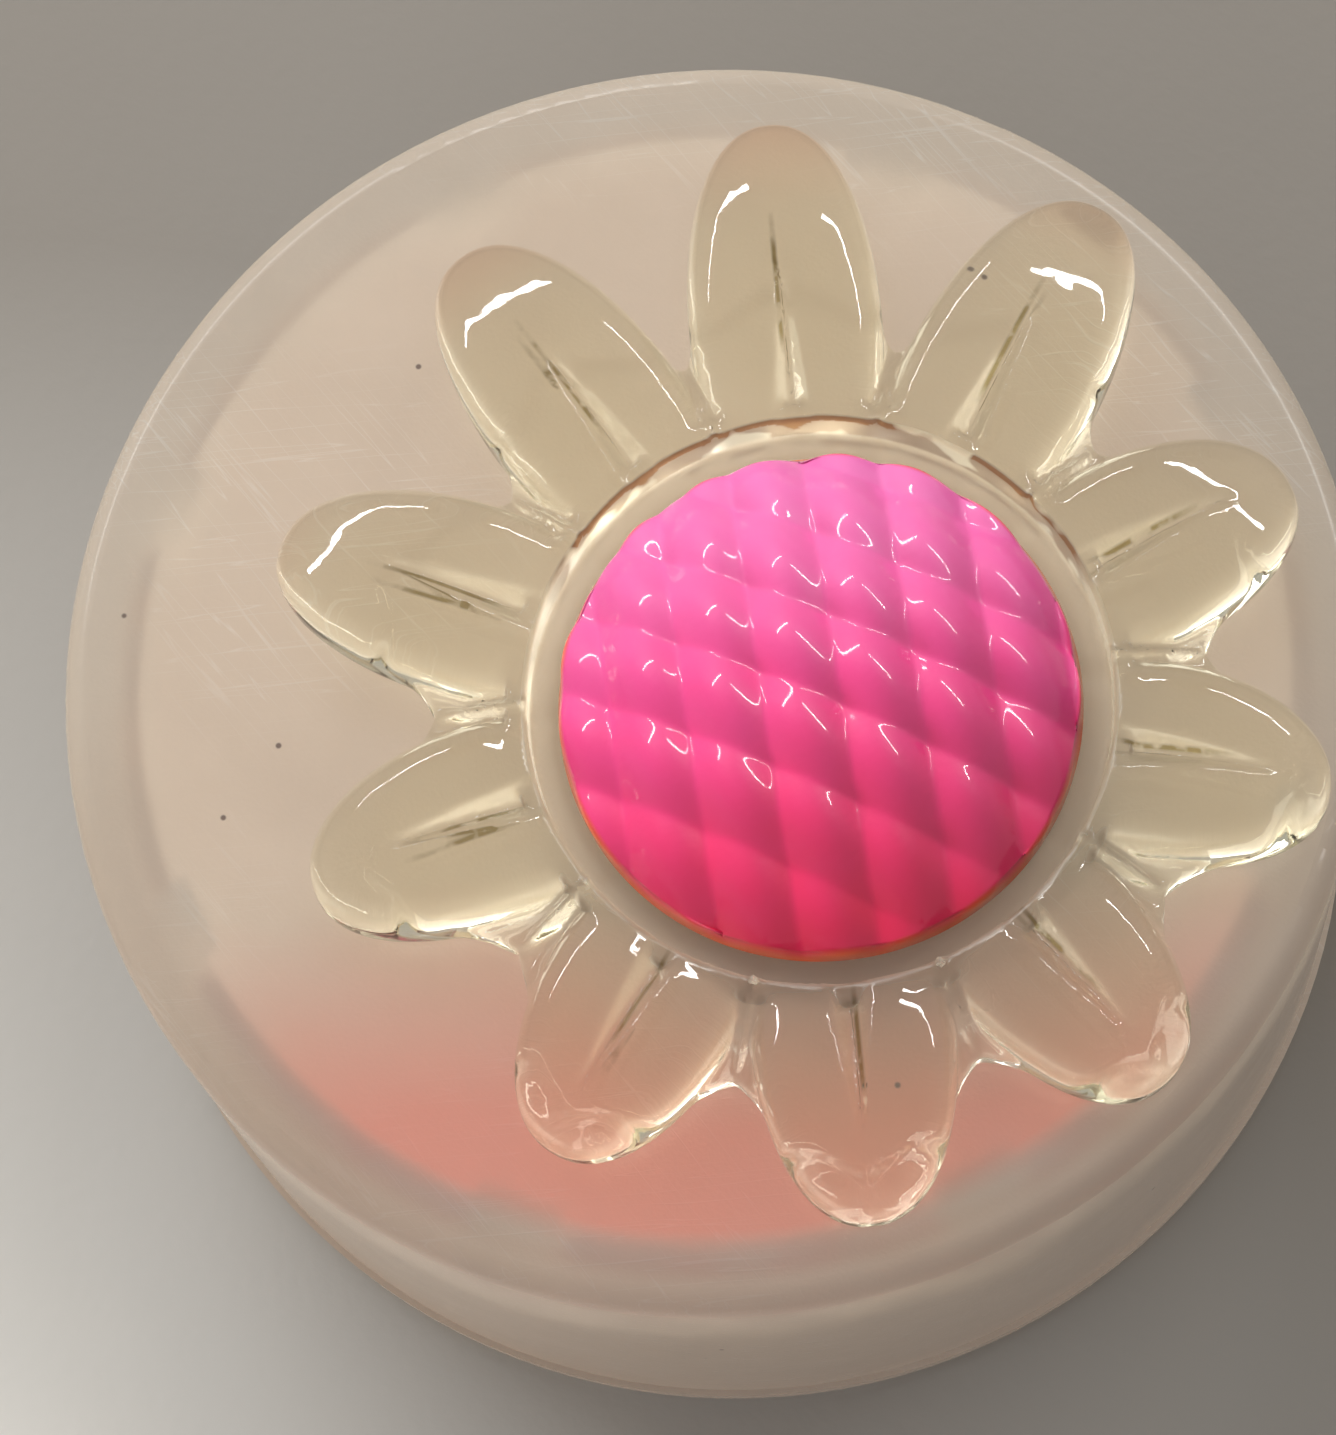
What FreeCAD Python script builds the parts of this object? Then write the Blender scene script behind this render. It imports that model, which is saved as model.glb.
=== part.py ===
"""Decorative screw cap for a hair-product bottle, as a parametric FreeCAD assembly.

Frame: millimetres, +Z up, origin at the centre of the rim that the cap stands on.
A frosted outer shell holds a threaded inner cap. A clear ten-petal daisy with a domed centre
turns on a stem that passes through the shell's top plate, off the cap's axis along +X.
"""
import FreeCAD, Part
import math
import os
import Sketcher

DIMENSIONS = {
    # outer shell
    "shell_top_radius": 30.0,
    "shell_draft": 1.0,
    "shell_height": 24.0,
    "shell_wall": 2.0,
    "plate_thickness": 2.0,
    "shoulder_round": 1.2,
    "lip_height": 1.2,
    "lip_proud": 0.25,
    "ledge_width": 1.5,
    "bead_proud": 0.7,
    "bead_height": 1.0,
    "rib_count": 8,
    "rib_width": 4.0,
    "rib_depth": 0.8,
    "rib_phase": 11.8,
    # inner cap
    "insert_gap": 2.4,
    "flange_thickness": 1.6,
    "flange_clearance": 0.35,
    "notch_clearance": 0.2,
    "snap_clearance": 0.1,
    "neck_bore_radius": 13.9,
    "lead_in_clearance": 0.2,
    "lead_in_length": 2.5,
    "tube_wall": 2.0,
    "tube_recess": 3.0,
    "thread_pitch": 4.23,
    "thread_depth": 1.0,
    "thread_root": 2.2,
    "thread_crest": 1.0,
    "thread_start": 1.2,
    "thread_headroom": 1.255,
    "gusset_reach": 4.0,
    "gusset_drop": 5.0,
    "gusset_thickness": 1.2,
    # sealing liner
    "liner_thickness": 1.5,
    "liner_clearance": 0.3,
    # daisy
    "daisy_offset": 6.0,
    "petal_root_half": 3.7,
    "petal_root_overlap": 1.5,
    "petal_middle_half": 4.5,
    "petal_tip_half": 2.9,
    "petal_tip_length": 2.3,
    "petal_inner_edge": 3.2,
    "petal_outer_edge": 2.4,
    "petal_arch_rise": 1.1,
    "petal_arch_reach": 25.0,
    "petal_lift": 0.3,
    "web_reach": 4.6,
    "web_thickness": 1.3,
    "cup_clearance": 1.3,
    "cup_floor": 1.6,
    "pad_radius": 7.0,
    "pad_clearance": 0.05,
    "crease_length": 7.4,
    "crease_width": 1.9,
    "crease_depth": 1.2,
    "trim_margin": 3.0,
    # domed centre, its stem and the ring that holds it
    "dome_radius": 11.8,
    "dome_side": 1.4,
    "dome_rise": 3.8,
    "stem_radius": 2.0,
    "stem_clearance": 0.05,
    "ring_radius": 4.5,
    "ring_thickness": 0.6,
    "ring_play": 0.1,
    "ring_drop": 0.15,
    "stem_groove_depth": 0.3,
    "ring_bore_clearance": 0.05,
    "stem_tail": 0.5,
}

# each petal's direction about the stem in degrees, from +X, and how far its tip reaches
PETALS = (
    (19.6, 23.0),
    (56.0, 23.8),
    (91.7, 27.5),
    (124.9, 28.9),
    (157.3, 28.0),
    (192.2, 26.2),
    (230.0, 24.2),
    (269.8, 23.3),
    (305.5, 23.4),
    (341.2, 22.8),
)
for place, (turn, reach) in enumerate(PETALS, start=1):
    DIMENSIONS["petal_%d_turn" % place] = turn
    DIMENSIONS["petal_%d_reach" % place] = reach

LINEAR_TOLERANCE = 1e-4


class Size:
    """A number together with the sheet expression it comes from, so each is written once."""

    def __init__(self, value, text):
        self.value = float(value)
        self.text = text

    def combine(self, other, sign, value):
        return Size(value, "(%s %s %s)" % (self.text, sign, other.text))

    def __add__(self, other):
        other = as_size(other)
        return self.combine(other, "+", self.value + other.value)

    def __sub__(self, other):
        other = as_size(other)
        return self.combine(other, "-", self.value - other.value)

    def __mul__(self, other):
        other = as_size(other)
        return self.combine(other, "*", self.value * other.value)

    def __truediv__(self, other):
        other = as_size(other)
        return self.combine(other, "/", self.value / other.value)

    def __neg__(self):
        return Size(-self.value, "(0 - %s)" % self.text)


def as_size(number):
    return number if isinstance(number, Size) else Size(number, repr(float(number)))


def make_sheet(doc):
    """Write the driving dimensions to the sheet and return them as Sizes by name."""
    sheet = doc.addObject("Spreadsheet::Sheet", "Sizes")
    sizes = {}
    for row, (name, value) in enumerate(DIMENSIONS.items(), start=1):
        sheet.set("A%d" % row, name)
        sheet.set("B%d" % row, repr(value))
        sheet.setAlias("B%d" % row, name)
        sizes[name] = Size(value, "Sizes.%s" % name)
    doc.recompute()
    return sizes


def make_body(doc, label):
    body = doc.addObject("PartDesign::Body", label)
    body.Label = label
    return body


def origin_feature(body, role):
    """One of the body's own planes or axes."""
    return next(item for item in body.Origin.OriginFeatures if item.Role == role)


def new_sketch(body, name, plane, height=None, turn=None):
    """A sketch on one of the body's own planes, raised along and turned about its normal."""
    sketch = body.newObject("Sketcher::SketchObject", name)
    sketch.AttachmentSupport = [(origin_feature(body, plane), "")]
    sketch.MapMode = "FlatFace"
    if turn is not None:
        about_normal = FreeCAD.Rotation(FreeCAD.Vector(0, 0, 1), turn.value)
        sketch.AttachmentOffset = FreeCAD.Placement(FreeCAD.Vector(), about_normal)
        sketch.setExpression("AttachmentOffset.Rotation.Angle", turn.text)
    if height is not None:
        sketch.setExpression("AttachmentOffset.Base.z", height.text)
    return sketch


def pin_point(sketch, line, end, across, up):
    """Fix one end of a line at (across, up), each bound to its expression."""
    for kind, size, axis in (("DistanceX", across, -2), ("DistanceY", up, -1)):
        if size.value == 0.0:
            sketch.addConstraint(Sketcher.Constraint("PointOnObject", line, end, axis))
            continue
        index = sketch.addConstraint(
            Sketcher.Constraint(kind, -1, 1, line, end, size.value)
        )
        sketch.setExpression("Constraints[%d]" % index, size.text)


def arc_through(start, end, radius, side):
    """An arc of this radius that bulges to the left (side 1) or right (-1) of the way."""
    chord = end.sub(start)
    half = chord.Length / 2
    outward = FreeCAD.Vector(-chord.y, chord.x, 0).normalize() * side
    sagitta = radius - math.sqrt(radius * radius - half * half)
    crown = start.add(chord * 0.5).add(outward * sagitta)
    return Part.Arc(start, crown, end)


def ends_of(sketch, line, start):
    """The line's two ends in walking order: a sketch may store an arc the other way round."""
    first = sketch.getPoint(line, 1)
    return (1, 2) if first.distanceToPoint(start) < LINEAR_TOLERANCE else (2, 1)


def draw_outline(sketch, corners, arcs=None):
    """Draw a closed outline through corners given as (across, up) Sizes.

    arcs gives, for a corner's number, the radius and side of the arc that leaves it. The other
    runs are straight.
    """
    arcs = arcs or {}
    corners = [(as_size(across), as_size(up)) for across, up in corners]
    points = [FreeCAD.Vector(across.value, up.value, 0) for across, up in corners]
    count = len(points)
    ends = []
    for i in range(count):
        start, end = points[i], points[(i + 1) % count]
        if i in arcs:
            radius, side = arcs[i]
            run = arc_through(start, end, radius.value, side)
        else:
            run = Part.LineSegment(start, end)
        sketch.addGeometry(run, False)
        ends.append(ends_of(sketch, i, start))
    for i in range(count):
        following = (i + 1) % count
        sketch.addConstraint(
            Sketcher.Constraint("Coincident", i, ends[i][1], following, ends[following][0])
        )
    for i, (across, up) in enumerate(corners):
        pin_point(sketch, i, ends[i][0], across, up)
    for i, (radius, side) in arcs.items():
        index = sketch.addConstraint(Sketcher.Constraint("Radius", i, radius.value))
        sketch.setExpression("Constraints[%d]" % index, radius.text)
    return sketch


def draw_circle(sketch, across, radius):
    """A circle centred on the sketch's horizontal axis."""
    centre = FreeCAD.Vector(as_size(across).value, 0, 0)
    up = FreeCAD.Vector(0, 0, 1)
    sketch.addGeometry(Part.Circle(centre, up, radius.value), False)
    pin_point(sketch, 0, 3, as_size(across), as_size(0))
    index = sketch.addConstraint(Sketcher.Constraint("Radius", 0, radius.value))
    sketch.setExpression("Constraints[%d]" % index, radius.text)
    return sketch


def revolve(body, sketch, feature="Revolution"):
    """Turn a sketch of the XZ plane a full turn about its vertical axis."""
    solid = body.newObject("PartDesign::" + feature, feature)
    solid.Profile = sketch
    solid.ReferenceAxis = (sketch, ["V_Axis"])
    solid.Angle = 360.0
    sketch.Visibility = False
    return solid


def pad(body, name, sketch, length, midplane=False):
    solid = body.newObject("PartDesign::Pad", name)
    solid.Profile = sketch
    solid.setExpression("Length", length.text)
    solid.Midplane = midplane
    return solid


def pocket(body, name, sketch, length, upward=True):
    """Cut a sketch into the body, upward along its plane's normal or downward."""
    cut = body.newObject("PartDesign::Pocket", name)
    cut.Profile = sketch
    cut.Reversed = upward
    cut.setExpression("Length", length.text)
    return cut


def polar_pattern(body, feature, count):
    pattern = body.newObject("PartDesign::PolarPattern", feature.Name + "Pattern")
    pattern.Originals = [feature]
    pattern.Axis = (origin_feature(body, "Z_Axis"), [""])
    pattern.Angle = 360.0
    pattern.setExpression("Occurrences", count.text)
    body.Tip = pattern
    return pattern


def circle_edge(feature, radius, height):
    """The name of the feature's full-circle edge of this radius at this height."""
    for number, edge in enumerate(feature.Shape.Edges, start=1):
        curve = edge.Curve
        if not isinstance(curve, Part.Circle):
            continue
        same_radius = abs(curve.Radius - radius) < LINEAR_TOLERANCE
        same_height = abs(curve.Center.z - height) < LINEAR_TOLERANCE
        if same_radius and same_height:
            return "Edge%d" % number
    raise ValueError("no circle of radius %s at height %s" % (radius, height))


def round_edges(body, feature, names, radius):
    fillet = body.newObject("PartDesign::Fillet", "Fillet")
    fillet.Base = (feature, names)
    fillet.setExpression("Radius", radius.text)
    return fillet


def cap_levels(s):
    """Heights and radii that more than one piece shares."""
    levels = {}
    levels["plate_under"] = s["shell_height"] - s["plate_thickness"]
    levels["flange_top"] = levels["plate_under"] - s["insert_gap"]
    levels["flange_bottom"] = levels["flange_top"] - s["flange_thickness"]
    levels["rim_radius"] = s["shell_top_radius"] + s["shell_draft"]
    slope = s["shell_draft"] / s["shell_height"]

    def outer_radius(height):
        return levels["rim_radius"] - slope * height

    levels["outer_radius"] = outer_radius
    levels["wall_at_flange"] = outer_radius(levels["flange_top"]) - s["shell_wall"]
    levels["ledge_radius"] = levels["wall_at_flange"] - s["ledge_width"]
    levels["rib_radius"] = levels["ledge_radius"] - s["rib_depth"]
    levels["flange_radius"] = levels["wall_at_flange"] - s["flange_clearance"]
    levels["liner_radius"] = s["neck_bore_radius"] - s["liner_clearance"]
    levels["liner_bottom"] = levels["flange_bottom"] - s["liner_thickness"]
    levels["stem_hole"] = s["stem_radius"] + s["stem_clearance"]
    levels["cup_radius"] = s["dome_radius"] + s["cup_clearance"]
    return levels


def make_outer_shell(doc, s, levels):
    body = make_body(doc, "outer_shell")
    outer_radius = levels["outer_radius"]
    bead_top = levels["flange_bottom"] - s["snap_clearance"]
    bead_middle = bead_top - s["bead_height"] / 2
    bead_bottom = bead_top - s["bead_height"]
    wall_inside = levels["wall_at_flange"]
    profile = draw_outline(new_sketch(body, "ShellProfile", "XZ_Plane"), [
        (levels["rim_radius"] + s["lip_proud"], 0),
        (levels["rim_radius"] + s["lip_proud"], s["lip_height"]),
        (outer_radius(s["lip_height"]), s["lip_height"]),
        (s["shell_top_radius"], s["shell_height"]),
        (0, s["shell_height"]),
        (0, levels["plate_under"]),
        (levels["ledge_radius"], levels["plate_under"]),
        (levels["ledge_radius"], levels["flange_top"]),
        (wall_inside, levels["flange_top"]),
        (wall_inside, bead_top),
        (wall_inside - s["bead_proud"], bead_middle),
        (outer_radius(bead_bottom) - s["shell_wall"], bead_bottom),
        (levels["rim_radius"] - s["shell_wall"], 0),
    ])
    revolve(body, profile)
    rib_bottom = levels["flange_bottom"]
    rib_outside = wall_inside + s["shell_wall"] / 2
    rib_sketch = new_sketch(body, "RibSketch", "XY_Plane", rib_bottom, s["rib_phase"])
    draw_outline(rib_sketch, [
        (levels["rib_radius"], -s["rib_width"] / 2),
        (rib_outside, -s["rib_width"] / 2),
        (rib_outside, s["rib_width"] / 2),
        (levels["rib_radius"], s["rib_width"] / 2),
    ])
    rib_height = levels["plate_under"] - rib_bottom + s["plate_thickness"] / 2
    rib = pad(body, "Rib", rib_sketch, rib_height)
    polar_pattern(body, rib, s["rib_count"])
    hole_sketch = new_sketch(body, "StemHoleSketch", "XY_Plane", levels["plate_under"])
    draw_circle(hole_sketch, s["daisy_offset"], levels["stem_hole"])
    hole = pocket(body, "StemHole", hole_sketch, s["plate_thickness"])
    doc.recompute()
    edge = circle_edge(hole, s["shell_top_radius"].value, s["shell_height"].value)
    round_edges(body, hole, [edge], s["shoulder_round"])
    return body


def make_inner_cap(doc, s, levels):
    body = make_body(doc, "inner_cap")
    tube_outside = s["neck_bore_radius"] + s["tube_wall"]
    tube_bottom = s["tube_recess"]
    lead_in_top = tube_bottom + s["lead_in_length"]
    lead_in_radius = s["neck_bore_radius"] + s["lead_in_clearance"]
    profile = draw_outline(new_sketch(body, "InnerCapProfile", "XZ_Plane"), [
        (0, levels["flange_top"]),
        (levels["flange_radius"], levels["flange_top"]),
        (levels["flange_radius"], levels["flange_bottom"]),
        (tube_outside, levels["flange_bottom"]),
        (tube_outside, tube_bottom),
        (lead_in_radius, tube_bottom),
        (lead_in_radius, lead_in_top),
        (s["neck_bore_radius"], lead_in_top),
        (s["neck_bore_radius"], levels["flange_bottom"]),
        (0, levels["flange_bottom"]),
    ])
    revolve(body, profile)
    notch_half = s["rib_width"] / 2 + s["notch_clearance"]
    notch_inside = levels["rib_radius"] - s["notch_clearance"]
    notch_outside = levels["wall_at_flange"]
    bottom, phase = levels["flange_bottom"], s["rib_phase"]
    notch_sketch = new_sketch(body, "NotchSketch", "XY_Plane", bottom, phase)
    draw_outline(notch_sketch, [
        (notch_inside, -notch_half),
        (notch_outside, -notch_half),
        (notch_outside, notch_half),
        (notch_inside, notch_half),
    ])
    notch = pocket(body, "Notch", notch_sketch, s["flange_thickness"])
    polar_pattern(body, notch, s["rib_count"])
    gusset_sketch = new_sketch(body, "GussetSketch", "XZ_Plane")
    root = tube_outside - s["tube_wall"] / 2
    top = levels["flange_bottom"] + s["flange_thickness"] / 2
    draw_outline(gusset_sketch, [
        (root, top),
        (tube_outside + s["gusset_reach"], top),
        (tube_outside + s["gusset_reach"], levels["flange_bottom"]),
        (tube_outside, levels["flange_bottom"] - s["gusset_drop"]),
        (root, levels["flange_bottom"] - s["gusset_drop"]),
    ])
    gusset = pad(body, "Gusset", gusset_sketch, s["gusset_thickness"], midplane=True)
    polar_pattern(body, gusset, s["rib_count"])
    thread_bottom = lead_in_top + s["thread_start"]
    embedded = s["neck_bore_radius"] + s["tube_wall"] / 4
    crest_bottom = thread_bottom + (s["thread_root"] - s["thread_crest"]) / 2
    crest_radius = s["neck_bore_radius"] - s["thread_depth"]
    last_start = levels["liner_bottom"] - s["thread_headroom"] - s["thread_root"]
    turns = (last_start - thread_bottom) / s["thread_pitch"]
    thread_sketch = new_sketch(body, "ThreadSketch", "XZ_Plane")
    draw_outline(thread_sketch, [
        (embedded, thread_bottom),
        (s["neck_bore_radius"], thread_bottom),
        (crest_radius, crest_bottom),
        (crest_radius, crest_bottom + s["thread_crest"]),
        (s["neck_bore_radius"], thread_bottom + s["thread_root"]),
        (embedded, thread_bottom + s["thread_root"]),
    ])
    thread = body.newObject("PartDesign::AdditiveHelix", "Thread")
    thread.Profile = thread_sketch
    thread.ReferenceAxis = (thread_sketch, ["V_Axis"])
    thread.Mode = "pitch-turns-angle"
    thread.setExpression("Pitch", s["thread_pitch"].text)
    thread.setExpression("Turns", turns.text)
    return body


def make_foam_liner(doc, s, levels):
    body = make_body(doc, "foam_liner")
    sketch = new_sketch(body, "LinerSketch", "XY_Plane", levels["liner_bottom"])
    draw_circle(sketch, 0, levels["liner_radius"])
    pad(body, "LinerDisc", sketch, s["liner_thickness"])
    return body


def draw_petal_plan(sketch, s, levels, reach):
    """One petal seen from above: bulging sides from the hub to a round tip."""
    root_across = levels["cup_radius"] - s["petal_root_overlap"]
    tip_across = reach - s["petal_tip_length"]
    root, tip, length = s["petal_root_half"], s["petal_tip_half"], s["petal_tip_length"]
    run, taper = tip_across - root_across, root - tip
    bulge = s["petal_middle_half"] - (root + tip) / 2
    side_radius = ((run * run + taper * taper) / 4 + bulge * bulge) / (bulge * 2)
    tip_radius = (tip * tip + length * length) / (length * 2)
    return draw_outline(sketch, [
        (root_across, -root),
        (tip_across, -tip),
        (tip_across, tip),
        (root_across, root),
    ], {0: (side_radius, -1), 1: (tip_radius, -1), 2: (side_radius, -1)})


def place_on_plate(body, s):
    """Stand a piece drawn about the stem's axis on the shell's plate."""
    body.setExpression("Placement.Base.x", s["daisy_offset"].text)
    body.setExpression("Placement.Base.z", s["shell_height"].text)


def make_daisy(doc, s, levels):
    """Arched petals on a cupped hub, drawn about the stem with z = 0 on the shell's plate."""
    body = make_body(doc, "daisy")
    lift = s["petal_lift"]
    web_top = lift + s["web_thickness"]
    cup_radius = levels["cup_radius"]
    web_radius = cup_radius + s["web_reach"]
    hub_profile = draw_outline(new_sketch(body, "HubProfile", "XZ_Plane"), [
        (levels["stem_hole"], s["pad_clearance"]),
        (s["pad_radius"], s["pad_clearance"]),
        (s["pad_radius"], lift),
        (web_radius, lift),
        (web_radius, web_top),
        (levels["stem_hole"], web_top),
    ])
    revolve(body, hub_profile)
    crest = s["petal_inner_edge"] + s["petal_arch_rise"]
    turns = [s["petal_%d_turn" % place] for place in range(1, len(PETALS) + 1)]
    reaches = [s["petal_%d_reach" % place] for place in range(1, len(PETALS) + 1)]
    for turn, reach in zip(turns, reaches):
        petal_sketch = new_sketch(body, "PetalSketch", "XY_Plane", lift, turn)
        draw_petal_plan(petal_sketch, s, levels, reach)
        pad(body, "Petal", petal_sketch, crest)
    longest = max(reaches, key=lambda reach: reach.value)
    beyond = longest + s["trim_margin"]
    above = lift + crest + s["trim_margin"]
    petal_run = s["petal_arch_reach"] - cup_radius
    rise = s["petal_arch_rise"]
    arch_radius = petal_run * petal_run / (rise * 8) + rise / 2
    trim = draw_outline(new_sketch(body, "ArchSketch", "XZ_Plane"), [
        (s["trim_margin"] / 2, s["cup_floor"]),
        (cup_radius, s["cup_floor"]),
        (cup_radius, lift + s["petal_inner_edge"]),
        (s["petal_arch_reach"], lift + s["petal_outer_edge"]),
        (beyond, lift + s["petal_outer_edge"]),
        (beyond, above),
        (s["trim_margin"] / 2, above),
    ], {2: (arch_radius, 1)})
    revolve(body, trim, "Groove")
    crease_floor = lift + crest - s["crease_depth"]
    crease_start = cup_radius - s["trim_margin"] / 2
    for turn in turns:
        crease_sketch = new_sketch(body, "CreaseSketch", "XY_Plane", crease_floor, turn)
        draw_outline(crease_sketch, [
            (crease_start, -s["crease_width"] / 2),
            (cup_radius + s["crease_length"], 0),
            (crease_start, s["crease_width"] / 2),
        ])
        pocket(body, "Crease", crease_sketch, crest)
    place_on_plate(body, s)
    return body


def make_daisy_centre(doc, s, levels):
    """The dome and its stem, which passes down through the daisy and the plate."""
    body = make_body(doc, "daisy_centre")
    dome_base = s["cup_floor"]
    rise = s["dome_rise"]
    radius = s["dome_radius"]
    cap_radius = (radius * radius + rise * rise) / (rise * 2)
    groove_top = -(s["plate_thickness"] + s["ring_play"])
    groove_bottom = groove_top - s["ring_thickness"] - s["ring_play"]
    groove_radius = s["stem_radius"] - s["stem_groove_depth"]
    profile = draw_outline(new_sketch(body, "CentreProfile", "XZ_Plane"), [
        (0, groove_bottom - s["stem_tail"]),
        (s["stem_radius"], groove_bottom - s["stem_tail"]),
        (s["stem_radius"], groove_bottom),
        (groove_radius, groove_bottom),
        (groove_radius, groove_top),
        (s["stem_radius"], groove_top),
        (s["stem_radius"], dome_base),
        (radius, dome_base),
        (radius, dome_base + s["dome_side"]),
        (0, dome_base + s["dome_side"] + rise),
    ], {8: (cap_radius, -1)})
    revolve(body, profile)
    place_on_plate(body, s)
    return body


def make_retaining_ring(doc, s, levels):
    """The flat ring in the stem's groove, just under the plate."""
    body = make_body(doc, "retaining_ring")
    top = -(s["plate_thickness"] + s["ring_drop"])
    bore = s["stem_radius"] - s["stem_groove_depth"] + s["ring_bore_clearance"]
    profile = draw_outline(new_sketch(body, "RingProfile", "XZ_Plane"), [
        (bore, top),
        (s["ring_radius"], top),
        (s["ring_radius"], top - s["ring_thickness"]),
        (bore, top - s["ring_thickness"]),
    ])
    revolve(body, profile)
    place_on_plate(body, s)
    return body


def check_document(doc, bodies):
    """Stop if any feature failed or any sub-part's shape isn't one valid solid."""
    for item in doc.Objects:
        if "Invalid" in item.State or "Error" in item.State:
            raise RuntimeError("%s failed: %s" % (item.Name, item.State))
    for body in bodies:
        shape = body.Shape
        if shape.isNull() or not shape.isValid() or len(shape.Solids) != 1:
            raise RuntimeError("%s isn't one valid solid" % body.Label)


def main():
    doc = FreeCAD.newDocument("ScrewCap")
    s = make_sheet(doc)
    levels = cap_levels(s)
    makers = (
        make_outer_shell,
        make_inner_cap,
        make_foam_liner,
        make_daisy,
        make_daisy_centre,
        make_retaining_ring,
    )
    bodies = [make(doc, s, levels) for make in makers]
    doc.recompute()
    check_document(doc, bodies)
    os.makedirs("parts", exist_ok=True)
    for body in bodies:
        body.Shape.exportStep(os.path.join("parts", body.Label + ".step"))
        box = body.Shape.BoundBox
        print("%-15s volume %8.1f mm3, z %6.2f to %6.2f" % (
            body.Label, body.Shape.Volume, box.ZMin, box.ZMax))


main()
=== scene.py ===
"""A frosted screw cap with a clear daisy and a neon domed centre, on a pale floor.

Frame: metres, +Z up, the cap stands on z = 0 and the daisy turns about its stem.
Meshes are worked out in millimetres about the stem on the plate, then placed.
"""
import itertools
import math

import bpy
import numpy as np
from mathutils import Matrix, Vector


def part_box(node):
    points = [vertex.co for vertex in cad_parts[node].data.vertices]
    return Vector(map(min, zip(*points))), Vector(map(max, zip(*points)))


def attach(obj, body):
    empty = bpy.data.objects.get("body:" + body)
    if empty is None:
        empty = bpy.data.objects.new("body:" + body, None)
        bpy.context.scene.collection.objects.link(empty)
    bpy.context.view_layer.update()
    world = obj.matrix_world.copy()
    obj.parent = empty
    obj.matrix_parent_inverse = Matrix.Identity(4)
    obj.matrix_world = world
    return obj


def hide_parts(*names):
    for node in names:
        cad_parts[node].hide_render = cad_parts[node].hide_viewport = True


MM = 0.001

# the daisy, in millimetres about its stem with z = 0 on the plate
# each petal's direction in degrees and how far its tip reaches
PETALS = (
    (19.6, 23.0), (56.0, 23.8), (91.7, 27.5), (124.9, 28.9), (157.3, 28.0),
    (192.2, 26.2), (230.0, 24.2), (269.8, 23.3), (305.5, 23.4), (341.2, 22.8),
)
PETAL_ROUND = 0.36  # share of the reach that the rounded tip takes
PETAL_ROOT = 7.3
PETAL_HALF = 4.5
PETAL_CROWN = 0.5
PETAL_CROWN_POWER = 2.4
PETAL_EDGE_ROUND = 1.7
PETAL_UNDER_ROUND = 0.5
TIP_POWER, ROOT_POWER, SIDE_POWER = 2.1, 2.0, 2.2  # how square a petal's outline is
CUP_RADIUS = 13.1
CUP_FLOOR = 1.58
COLLAR_MIDDLE = 0.45
COLLAR_HALF = 0.5
RIM_HEIGHT = 3.5
TIP_HEIGHT = 2.7
ARCH_RISE = 1.1
LIFT = 0.3
PETAL_JOIN = 0.6  # how far each join between two shapes is rounded
WEB_JOIN = 0.7
COLLAR_JOIN = 0.3
WEB_REACH = 17.5
WEB_TOP = 1.6
RIDGE_RISE = 2.1
RIDGE_SLOPE = 1.6
RIPPLE_RISE = 0.28
RIPPLE_PITCH = 1.4
PAD_RADIUS = 7.0
PAD_UNDER = 0.05
HOLE_RADIUS = 2.05
CREASE_LENGTH = 7.6
CREASE_HALF = 0.8
CREASE_END_HALF = 0.12
CREASE_DEPTH = 1.3
GRID = 0.235
FAR_OUTSIDE = 20.0  # a field value for points that no petal is near
NEAR_PETAL = (8.0, 1.5, 6.5)  # where a petal is worked out: from, beyond its tip, to each side
STEM_CENTRE = (6.0, 0.0, 24.0)  # from the row's origin

# the domed centre and its stem, in the same millimetres
DOME_RADIUS = 11.8
DOME_BASE = 1.6
DOME_SIDE = 1.4
DOME_RISE = 3.8
DOME_RINGS = 118
DOME_SEGMENTS = 480
DOME_EDGE_ROUND = 0.25
STEM_RADIUS = 2.0
STEM_GROOVE_RADIUS = 1.7
STEM_GROOVE_TOP = -2.1
STEM_GROOVE_BOTTOM = -2.8
STEM_END = -3.3
STEM_BEVEL = 0.1
AXIS_RADIUS = 0.1  # the small ring that each end face is closed at
# each set of grooves across the dome: its direction, pitch, depth and how far it is shifted
GROOVES = ((6.5, 3.6, 0.46, -0.67), (-51.5, 3.42, 0.60, 0.92))

# where the salmon colour starts and is full, as a share of 60 mm towards the near side; this
# salmon is painted, pale where glare washes the far side and full where the pink shows on the near
# side
SALMON_SIDE = (0.25, 0.43)

# the floor and the camera, in metres, degrees and, for the lens, millimetres
FLOOR_HALF = 3.0
FLOOR_DROP = 0.0002
PLATE_TOP = Vector((0, 0, 0.024))
CAMERA_AZIMUTH = 44.2
CAMERA_ELEVATION = 72.9
CAMERA_ROLL = 14.1
CAMERA_DISTANCE = 0.1603
CAMERA_LEFT = 0.0018
CAMERA_DOWN = 0.00287
CAMERA_LENS = 87.8
CAMERA_SENSOR = 36
CAMERA_CLIP = 0.01

# the sky's colour, how strongly it lights matt surfaces and how strong it looks otherwise
SKY_COLOUR = (0.95, 0.93, 0.90, 1)
SKY_LIGHT = 0.13
SKY_SEEN = 0.55

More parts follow.
